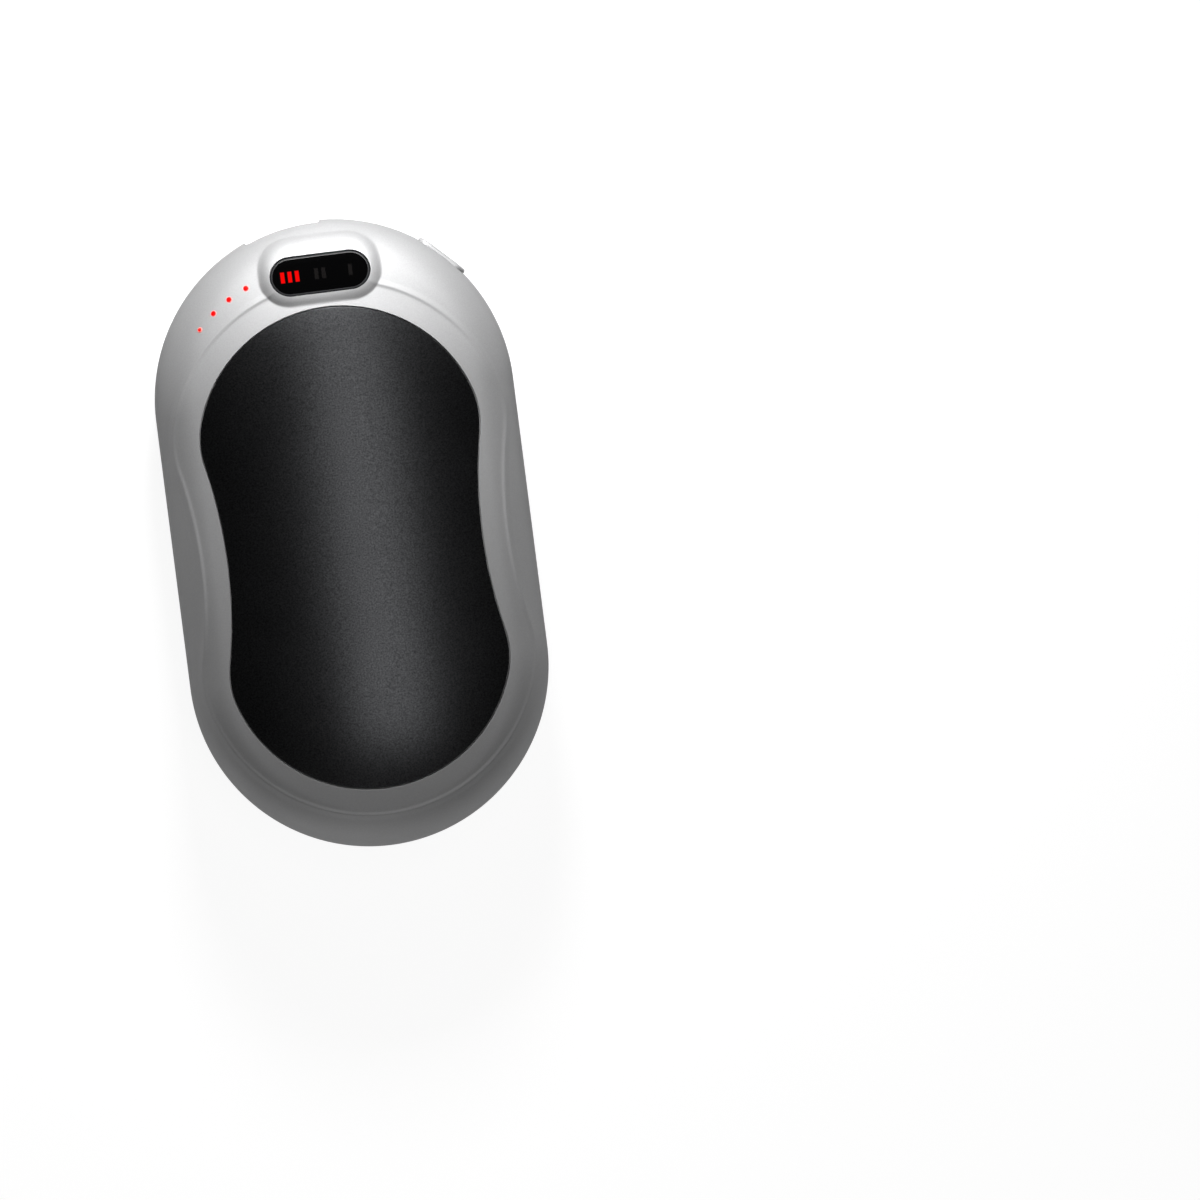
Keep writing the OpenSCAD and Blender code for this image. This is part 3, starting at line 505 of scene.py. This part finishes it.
def make_window():
    """A flat pane with a soft bevel."""
    top = boss_rise - window_sink
    bevel = [(window_bevel * (1 - math.sin(a)) ** bevel_crowding,
              top - window_bevel * bevel_depth_share * (1 - math.cos(a)))
             for a in lerp(bevel_from, bevel_to, 8)]
    profile = [(window_h / 2, top), (window_h / 4, top), (window_bevel + bevel_hold, top)] + bevel
    profile += [(0.0, top - window_bevel), (0.0, top - window_t), (window_h / 2, top - window_t)]
    points, faces = pill_rings(window_w, window_h, profile)
    return make_mesh("window_pane", placed(points, window_place()), faces, 25)


def make_button():
    """A cap that follows the rim, with rounded edges and a shallow dish for the thumb, on its flange."""
    foot = -button_proud - wall
    profile = [(inset, -dish_depth * (1 - smooth_step(button_h / 2 - inset, 0, dish_reach)))
               for inset in lerp(button_h / 2, button_edge, 12)]
    profile += [(button_edge * (1 - math.sin(a)), -button_edge * (1 - math.cos(a))) for a in quarter(8)]
    profile += [(0.0, -button_hold), (0.0, foot), (-flange_side, foot), (-flange_side, foot - flange_t),
                (button_h / 2, foot - flange_t)]
    flat, faces = pill_rings(button_w, button_h, profile)
    angle = flat[:, 0] / (body_w / 2)
    z = np.clip(flat[:, 1], flange_keep - rim_r, rim_r - flange_keep)
    rho = rim_c + np.sqrt(rim_r ** 2 - z ** 2) + button_proud + flat[:, 2]
    local = np.column_stack([rho * np.sin(angle), rho * np.cos(angle), flat[:, 1]])
    return make_mesh("button_cap", placed(local, button_place()), faces, 40)


def make_lights():
    """Domed tips of the light guide, one for each charge light."""
    profile = [(light_r * (1 - math.sin(a)), light_dome * math.cos(a)) for a in lerp(0, math.pi / 2, 9)]
    profile += [(0.0, -light_deep), (light_r, -light_deep)]
    points, faces = pill_rings(2 * light_r, 2 * light_r - hair / 10, profile, 16)
    tips = [(placed(points, light_place(*spot)), faces) for spot in light_spots()]
    return make_mesh("charge_lights", *join_meshes(tips), 40)


def make_socket(name, low, high, corner, flare):
    """A drawn metal shell: rounded mouth, thin wall and closed end."""
    w, h, deep = high[0] - low[0], high[2] - low[2], high[1] - low[1]
    centre_x, centre_z = (low[0] + high[0]) / 2, (low[2] + high[2]) / 2

    def ring(inset, depth):
        outline = rounded_outline(w - 2 * inset, h - 2 * inset, max(corner - inset, least_corner), 8)
        return [(centre_x + x, high[1] - depth, centre_z + z) for x, z in outline]

    rings = [ring(h / 2 - centre_left, deep), ring(back_round, deep), ring(0.0, deep - back_round),
             ring(0.0, mouth_round)]
    rings += [ring(port_t / 2 * (1 - math.cos(a)), mouth_round * (1 - math.sin(a)))
              for a in lerp(0, math.pi, 9)[1:-1]]
    rings += [ring(port_t, mouth_round + flare), ring(port_t, deep - port_t),
              ring(h / 2 - centre_left, deep - port_t)]
    points = np.array(rings).transpose(1, 0, 2)
    return make_mesh(name, points, grid_faces(points.shape[0], points.shape[1]), 40)


# Materials

def new_material(name):
    """A material with its node tree and shader."""
    material = bpy.data.materials.new(name)
    material.use_nodes = True
    tree = material.node_tree
    return material, tree, tree.nodes["Principled BSDF"]


def feed(tree, socket, value):
    """Links another node's output to a socket, or sets the socket to a plain value."""
    if isinstance(value, bpy.types.NodeSocket):
        tree.links.new(value, socket)
    else:
        socket.default_value = value


def calc(tree, operation, a, b=0.0):
    """One sum on two values, each plain or another node's."""
    node = tree.nodes.new("ShaderNodeMath")
    node.operation = operation
    feed(tree, node.inputs[0], a)
    feed(tree, node.inputs[1], b)
    return node.outputs["Value"]


def ramp(tree, value, start, end, smooth=True):
    """A value mapped from one pair (value, result) to another, level past both."""
    node = tree.nodes.new("ShaderNodeMapRange")
    node.interpolation_type = "SMOOTHSTEP" if smooth else "LINEAR"
    node.inputs["From Min"].default_value, node.inputs["To Min"].default_value = start
    node.inputs["From Max"].default_value, node.inputs["To Max"].default_value = end
    tree.links.new(value, node.inputs["Value"])
    return node.outputs["Result"]


def shade(tree, value, dark, light):
    """A colour between two, each plain or another node's, by a 0 to 1 value."""
    node = tree.nodes.new("ShaderNodeMix")
    node.data_type = "RGBA"
    for name, colour in (("A", dark), ("B", light)):
        plain = isinstance(colour, (tuple, list))
        feed(tree, node.inputs[name], (*colour, 1) if plain else colour)
    feed(tree, node.inputs["Factor"], value)
    return node.outputs["Result"]


def noise(tree, scale, detail=4.0, rough=0.55):
    """Noise texture over the object's own coordinates; scale is in features a metre."""
    place = tree.nodes.new("ShaderNodeTexCoord")
    texture = tree.nodes.new("ShaderNodeTexNoise")
    texture.inputs["Scale"].default_value = scale
    texture.inputs["Detail"].default_value = detail
    texture.inputs["Roughness"].default_value = rough
    tree.links.new(place.outputs["Object"], texture.inputs["Vector"])
    return texture.outputs["Fac"]


def noise_between(tree, value, low, high):
    """Noise stretched into low to high: nearly all of it lies from 0.3 to 0.7."""
    return ramp(tree, value, (0.3, low), (0.7, high), smooth=False)


def speckled(name, colour, spread, rough, rough_spread, scale, bump_mm=0.0, metal=0.0, coat=0.0):
    """A finish that varies finely in colour and height, broadly in roughness; spreads are half ranges."""
    material, tree, shader = new_material(name)
    fine, broad = noise(tree, scale), noise(tree, scale / 40, 2.0)
    dark = [max(c * (1 - spread), 0) for c in colour]
    light = [min(c * (1 + spread), 1) for c in colour]
    feed(tree, shader.inputs["Base Color"], shade(tree, noise_between(tree, fine, 0, 1), dark, light))
    roughness = noise_between(tree, broad, rough - rough_spread, rough + rough_spread)
    feed(tree, shader.inputs["Roughness"], roughness)
    if bump_mm:
        relief = tree.nodes.new("ShaderNodeBump")
        relief.inputs["Strength"].default_value = 1.0
        relief.inputs["Distance"].default_value = bump_mm * MM
        feed(tree, relief.inputs["Height"], fine)
        feed(tree, shader.inputs["Normal"], relief.outputs["Normal"])
    shader.inputs["Metallic"].default_value = metal
    shader.inputs["Coat Weight"].default_value = coat
    return material


def light_distance(tree):
    """Distance in metres from the nearest charge light, stretched at the last one, which is weaker."""
    place = tree.nodes.new("ShaderNodeTexCoord")
    nearest = None
    for i, (spot, _) in enumerate(light_spots()):
        gap = tree.nodes.new("ShaderNodeVectorMath")
        gap.operation = "DISTANCE"
        gap.inputs[1].default_value = spot * MM
        tree.links.new(place.outputs["Object"], gap.inputs[0])
        distance = gap.outputs["Value"]
        if i == light_count - 1:
            distance = calc(tree, "MULTIPLY", distance, weak_light)
        nearest = distance if nearest is None else calc(tree, "MINIMUM", nearest, distance)
    return nearest


def shell_material():
    """Satin silver-white plastic, with a red glow in it round each charge light."""
    material = speckled("satin_plastic", (0.42, 0.42, 0.424), 0.05, 0.665, 0.02, 4200, 0.004, 0.6)
    tree = material.node_tree
    shader = tree.nodes["Principled BSDF"]
    shader.inputs["Specular IOR Level"].default_value = 0.3
    shader.inputs["Specular Tint"].default_value = (0.1, 0.1, 0.1, 1)
    shader.inputs["Emission Color"].default_value = (1.0, 0.06, 0.04, 1)
    glow = ramp(tree, light_distance(tree), (light_r * MM, 0.45), (1.5 * light_r * MM, 0.0))
    feed(tree, shader.inputs["Emission Strength"], glow)
    return material


def window_material():
    """Smoke-black acrylic with a satin bevel whose lighter grey is partly a painted reflection, and three
    groups of upright bars behind it, one lit red.
    """
    pane_black, mark_grey = (0.0008, 0.0008, 0.0009), (0.0055, 0.005, 0.005)
    # The bevel's base colour is lighter than the pane's: partly its satin finish, partly a painted
    # reflection of the lamps.
    bevel_grey_and_painted_sheen = (0.012, 0.0125, 0.0135)
    pane_rough, bevel_rough = 0.04, 0.6
    material, tree, shader = new_material("smoke_window")
    place = tree.nodes.new("ShaderNodeTexCoord")
    turn = tree.nodes.new("ShaderNodeMapping")
    turn.vector_type = "TEXTURE"
    turn.inputs["Location"].default_value = (0, window_y * MM, window_z * MM)
    turn.inputs["Rotation"].default_value = (-window_tilt, 0, 0)
    tree.links.new(place.outputs["Object"], turn.inputs["Vector"])
    split = tree.nodes.new("ShaderNodeSeparateXYZ")
    tree.links.new(turn.outputs["Vector"], split.inputs["Vector"])
    x, y = split.outputs["X"], split.outputs["Y"]

    def within(distance, half):
        """1 within half of zero, falling softly to 0."""
        return ramp(tree, distance, ((half - mark_blur) * MM, 1.0), ((half + mark_blur) * MM, 0.0))

    tall = within(calc(tree, "ABSOLUTE", y), mark_h / 2)
    groups = []
    for group in range(3):
        bars = None
        for i in range(3 - group):
            bar_x = (group - 1) * mark_pitch + (i - (2 - group) / 2) * mark_step
            bar = within(calc(tree, "ABSOLUTE", calc(tree, "SUBTRACT", x, bar_x * MM)), mark_w / 2)
            bars = bar if bars is None else calc(tree, "MAXIMUM", bars, bar)
        groups.append(calc(tree, "MULTIPLY", bars, tall))
    face = shade(tree, calc(tree, "MAXIMUM", groups[1], groups[2]), pane_black, mark_grey)
    straight = (window_w - window_h) / 2 * MM
    end_x = calc(tree, "MAXIMUM", calc(tree, "SUBTRACT", calc(tree, "ABSOLUTE", x), straight), 0.0)
    square = calc(tree, "ADD", calc(tree, "MULTIPLY", end_x, end_x), calc(tree, "MULTIPLY", y, y))
    pane = within(calc(tree, "SQRT", square), window_h / 2 - window_bevel)
    feed(tree, shader.inputs["Base Color"], shade(tree, pane, bevel_grey_and_painted_sheen, face))
    smoother = calc(tree, "MULTIPLY", pane, bevel_rough - pane_rough)
    feed(tree, shader.inputs["Roughness"], calc(tree, "SUBTRACT", bevel_rough, smoother))
    feed(tree, shader.inputs["Emission Strength"], calc(tree, "MULTIPLY", groups[0], 0.95))
    shader.inputs["Emission Color"].default_value = (1.0, 0.001, 0.0005, 1)
    shader.inputs["Specular IOR Level"].default_value = 0.2
    return material


def lamp_material():
    """Frosted acrylic lit red from inside: a red core in a pale pink tip."""
    material, tree, shader = new_material("red_lamp")
    rim = ramp(tree, light_distance(tree), (0.8 * light_r * MM, 0.0), (light_r * MM, 1.0))
    feed(tree, shader.inputs["Base Color"], shade(tree, rim, (0.03, 0.0, 0.0), (0.62, 0.3, 0.27)))
    feed(tree, shader.inputs["Emission Color"], shade(tree, rim, (0.95, 0.0, 0.0), (0.3, 0.04, 0.03)))
    feed(tree, shader.inputs["Roughness"], noise_between(tree, noise(tree, 900), 0.4, 0.5))
    shader.inputs["Emission Strength"].default_value = 1.0
    shader.inputs["Specular IOR Level"].default_value = 0.1
    return material


# Finish of each slot: colour and its spread, roughness and its spread, scale, bump height, metal and coat
finishes = {
    "shell": shell_material(),
    "plate": speckled("blasted_metal", (0.066, 0.067, 0.07), 0.45, 0.29, 0.01, 3400, 0.006, 1.0),
    "window": window_material(),
    "light_guide": lamp_material(),
    "button": speckled("button_plastic", (0.42, 0.42, 0.424), 0.03, 0.6, 0.02, 4200, 0.004, 0.6),
    "tape": speckled("black_tape", (0.012, 0.012, 0.012), 0.2, 0.8, 0.05, 2500, 0.01),
    "film": speckled("amber_film", (0.55, 0.22, 0.03), 0.08, 0.25, 0.04, 700, 0.0, 0.0, 0.3),
    "track": speckled("etched_foil", (0.56, 0.44, 0.33), 0.06, 0.35, 0.05, 1800, 0.003, 1.0),
    "pad": speckled("glass_felt", (0.7, 0.7, 0.67), 0.1, 0.9, 0.03, 2200, 0.05),
    "heater_lead": speckled("red_silicone", (0.5, 0.03, 0.02), 0.05, 0.5, 0.04, 1500, 0.004),
    "sensor": speckled("dark_glass", (0.015, 0.015, 0.016), 0.2, 0.08, 0.02, 800),
    "tray": speckled("nylon_tray", (0.045, 0.05, 0.06), 0.1, 0.55, 0.05, 1800, 0.01),
    "cell": speckled("cell_sleeve", (0.02, 0.075, 0.28), 0.06, 0.3, 0.04, 900, 0.004, 0.0, 0.3),
    "ring": speckled("fibre_paper", (0.75, 0.75, 0.7), 0.08, 0.85, 0.03, 2500, 0.02),
    "strip": speckled("nickel_strip", (0.62, 0.6, 0.56), 0.05, 0.3, 0.06, 1600, 0.002, 1.0),
    "foam": speckled("black_foam", (0.02, 0.02, 0.02), 0.3, 0.95, 0.02, 1400, 0.12),
    "red_lead": speckled("red_wire", (0.45, 0.015, 0.012), 0.05, 0.45, 0.04, 1500, 0.004),
    "black_lead": speckled("black_wire", (0.01, 0.01, 0.01), 0.2, 0.45, 0.04, 1500, 0.004),
    "board": speckled("solder_mask", (0.008, 0.09, 0.035), 0.12, 0.3, 0.05, 500, 0.002, 0.0, 0.2),
    "chip": speckled("moulded_epoxy", (0.014, 0.014, 0.015), 0.15, 0.6, 0.05, 3000, 0.006),
    "coil": speckled("pressed_ferrite", (0.05, 0.05, 0.053), 0.2, 0.6, 0.06, 2400, 0.02, 0.3),
    "capacitor": speckled("tan_ceramic", (0.3, 0.2, 0.1), 0.08, 0.5, 0.05, 2400, 0.004),
    "socket": speckled("drawn_steel", (0.66, 0.66, 0.67), 0.04, 0.24, 0.05, 1300, 0.002, 1.0),
    "tongue": speckled("white_nylon", (0.75, 0.75, 0.72), 0.03, 0.45, 0.04, 2000, 0.004),
    "charge_tongue": speckled("black_nylon", (0.015, 0.015, 0.015), 0.2, 0.45, 0.04, 2000, 0.004),
    "contact": speckled("gold_plating", (0.85, 0.6, 0.2), 0.04, 0.22, 0.04, 1500, 0.001, 1.0),
    "switch": speckled("switch_nylon", (0.015, 0.015, 0.016), 0.2, 0.5, 0.04, 2000, 0.006),
    "plunger": speckled("ivory_nylon", (0.65, 0.6, 0.45), 0.04, 0.45, 0.04, 2000, 0.004),
    "mask": speckled("printed_film", (0.01, 0.01, 0.01), 0.2, 0.6, 0.05, 2000),
    "mark": speckled("red_diffuser", (0.7, 0.02, 0.015), 0.05, 0.35, 0.04, 1500),
    "light_box": speckled("white_light_box", (0.8, 0.8, 0.79), 0.03, 0.5, 0.04, 2000, 0.004),
    "led": speckled("led_lens", (0.75, 0.7, 0.42), 0.05, 0.2, 0.04, 1500),
    "screw": speckled("zinc_plating", (0.6, 0.6, 0.61), 0.05, 0.3, 0.06, 1500, 0.002, 1.0),
}


def dress(piece, slot):
    """Gives a piece the finish of a slot."""
    piece.data.materials.clear()
    piece.data.materials.append(finishes[slot])


def add_piece(piece, slot, body, *nodes):
    """Gives a modelled piece its finish and body, and the CAD nodes that it stands for."""
    dress(piece, slot)
    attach(piece, body)
    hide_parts(*nodes)


for row in frame["record"]["subparts"]:
    dress(frame["nodes"][row["node"]], row["material_slot"])

add_piece(make_shell("front_casing", False), "shell", "body", "front_shell")
add_piece(make_shell("back_casing", True), "shell", "body", "back_shell")
add_piece(make_plate("front_heating_plate", False), "plate", "body", "front_plate")
add_piece(make_plate("back_heating_plate", True), "plate", "body", "back_plate")
add_piece(make_window(), "window", "body", "display_window")
add_piece(make_lights(), "light_guide", "body", "charge_light_guide")
add_piece(make_button(), "button", "button", "power_button")
add_piece(make_socket("output_socket", out_low, out_high, out_corner, out_flare),
          "socket", "body", "output_port_shell")
add_piece(make_socket("charging_socket", in_low, in_high, in_corner, in_flare),
          "socket", "body", "charge_port_shell")

# Floor
floor_half = 4.0
floor_corners = [(x * floor_half, y * floor_half, 0) for x, y in ((-1, -1), (1, -1), (1, 1), (-1, 1))]
floor_mesh = bpy.data.meshes.new("floor")
floor_mesh.from_pydata(floor_corners, [], [(0, 1, 2, 3)])
floor = bpy.data.objects.new("floor", floor_mesh)
bpy.context.scene.collection.objects.link(floor)


def floor_material():
    """Pale matt floor that the camera, gloss and glass see as white, with the object's shadow kept."""
    material, tree, shader = new_material("pale_floor")
    shader.inputs["Base Color"].default_value = (0.25, 0.25, 0.25, 1)
    shader.inputs["Roughness"].default_value = 0.9
    shader.inputs["Specular IOR Level"].default_value = 0.0
    shader.inputs["Emission Color"].default_value = (1, 1, 1, 1)
    path = tree.nodes.new("ShaderNodeLightPath")
    seen = path.outputs["Is Camera Ray"]
    for other in ("Is Glossy Ray", "Is Transmission Ray"):
        seen = calc(tree, "MAXIMUM", seen, path.outputs[other])
    feed(tree, shader.inputs["Emission Strength"], calc(tree, "MULTIPLY", seen, 0.9))
    return material


floor.data.materials.append(floor_material())

# Light
world = bpy.data.worlds.new("studio")
bpy.context.scene.world = world
world.use_nodes = True
world.node_tree.nodes["Background"].inputs["Color"].default_value = (1, 1, 1, 1)
world.node_tree.nodes["Background"].inputs["Strength"].default_value = 0.02
middle = Vector((0, 0, mid_z * MM))


def facing(place, target, upwards):
    """Matrix of a lamp or camera that looks from a place at a target."""
    back = (Vector(place) - target).normalized()
    side = upwards.cross(back).normalized()
    return Matrix.Translation(place) @ Matrix((side, back.cross(side), back)).transposed().to_4x4()


def soft_box(name, place, size, power):
    """A rectangular soft light, aimed at the object, with its second side towards the display end."""
    lamp = bpy.data.lights.new(name, "AREA")
    lamp.shape = "RECTANGLE"
    lamp.size, lamp.size_y = size
    lamp.energy = power
    holder = bpy.data.objects.new(name, lamp)
    bpy.context.scene.collection.objects.link(holder)
    holder.matrix_world = facing(place, middle, Vector((0, 1, 0)))
    holder.visible_camera = False


soft_box("overhead_strip", (0.1, 0.005, 1.0), (0.33, 0.85), 1.38)
soft_box("display_end_light", (0.012, 0.137, 0.101), (0.06, 0.04), 0.38)
soft_box("far_end_fill", (-0.095, -0.544, 0.247), (0.4, 0.4), 0.42)

# Camera: square on to the front and turned as in the photograph. Its frame is placed by the
# photograph's scale, in millimetres a pixel, and by how many pixels its middle lies right of the
# object's middle and below it.
camera_distance = 3.2
image_w, pixel = 1200, 0.17802
centre_right, centre_below = 248.3, 67.2
photo_turn, photo_yaw = math.radians(7.3), math.radians(-1.4)
right = Vector((math.cos(photo_turn), -math.sin(photo_turn), 0))
above = Vector((math.sin(photo_turn), math.cos(photo_turn), 0))
frame_centre = middle + (right * centre_right - above * centre_below) * pixel * MM
eye = middle + Vector((math.sin(photo_yaw), 0, math.cos(photo_yaw))) * camera_distance
camera_data = bpy.data.cameras.new("camera")
camera_data.lens = camera_data.sensor_width * (eye - frame_centre).length / (image_w * pixel * MM)
camera_data.clip_start, camera_data.clip_end = 0.01, 20
camera = bpy.data.objects.new("camera", camera_data)
bpy.context.scene.collection.objects.link(camera)
bpy.context.scene.camera = camera
camera.matrix_world = facing(eye, frame_centre, above)
bpy.context.scene.view_settings.view_transform = "Standard"
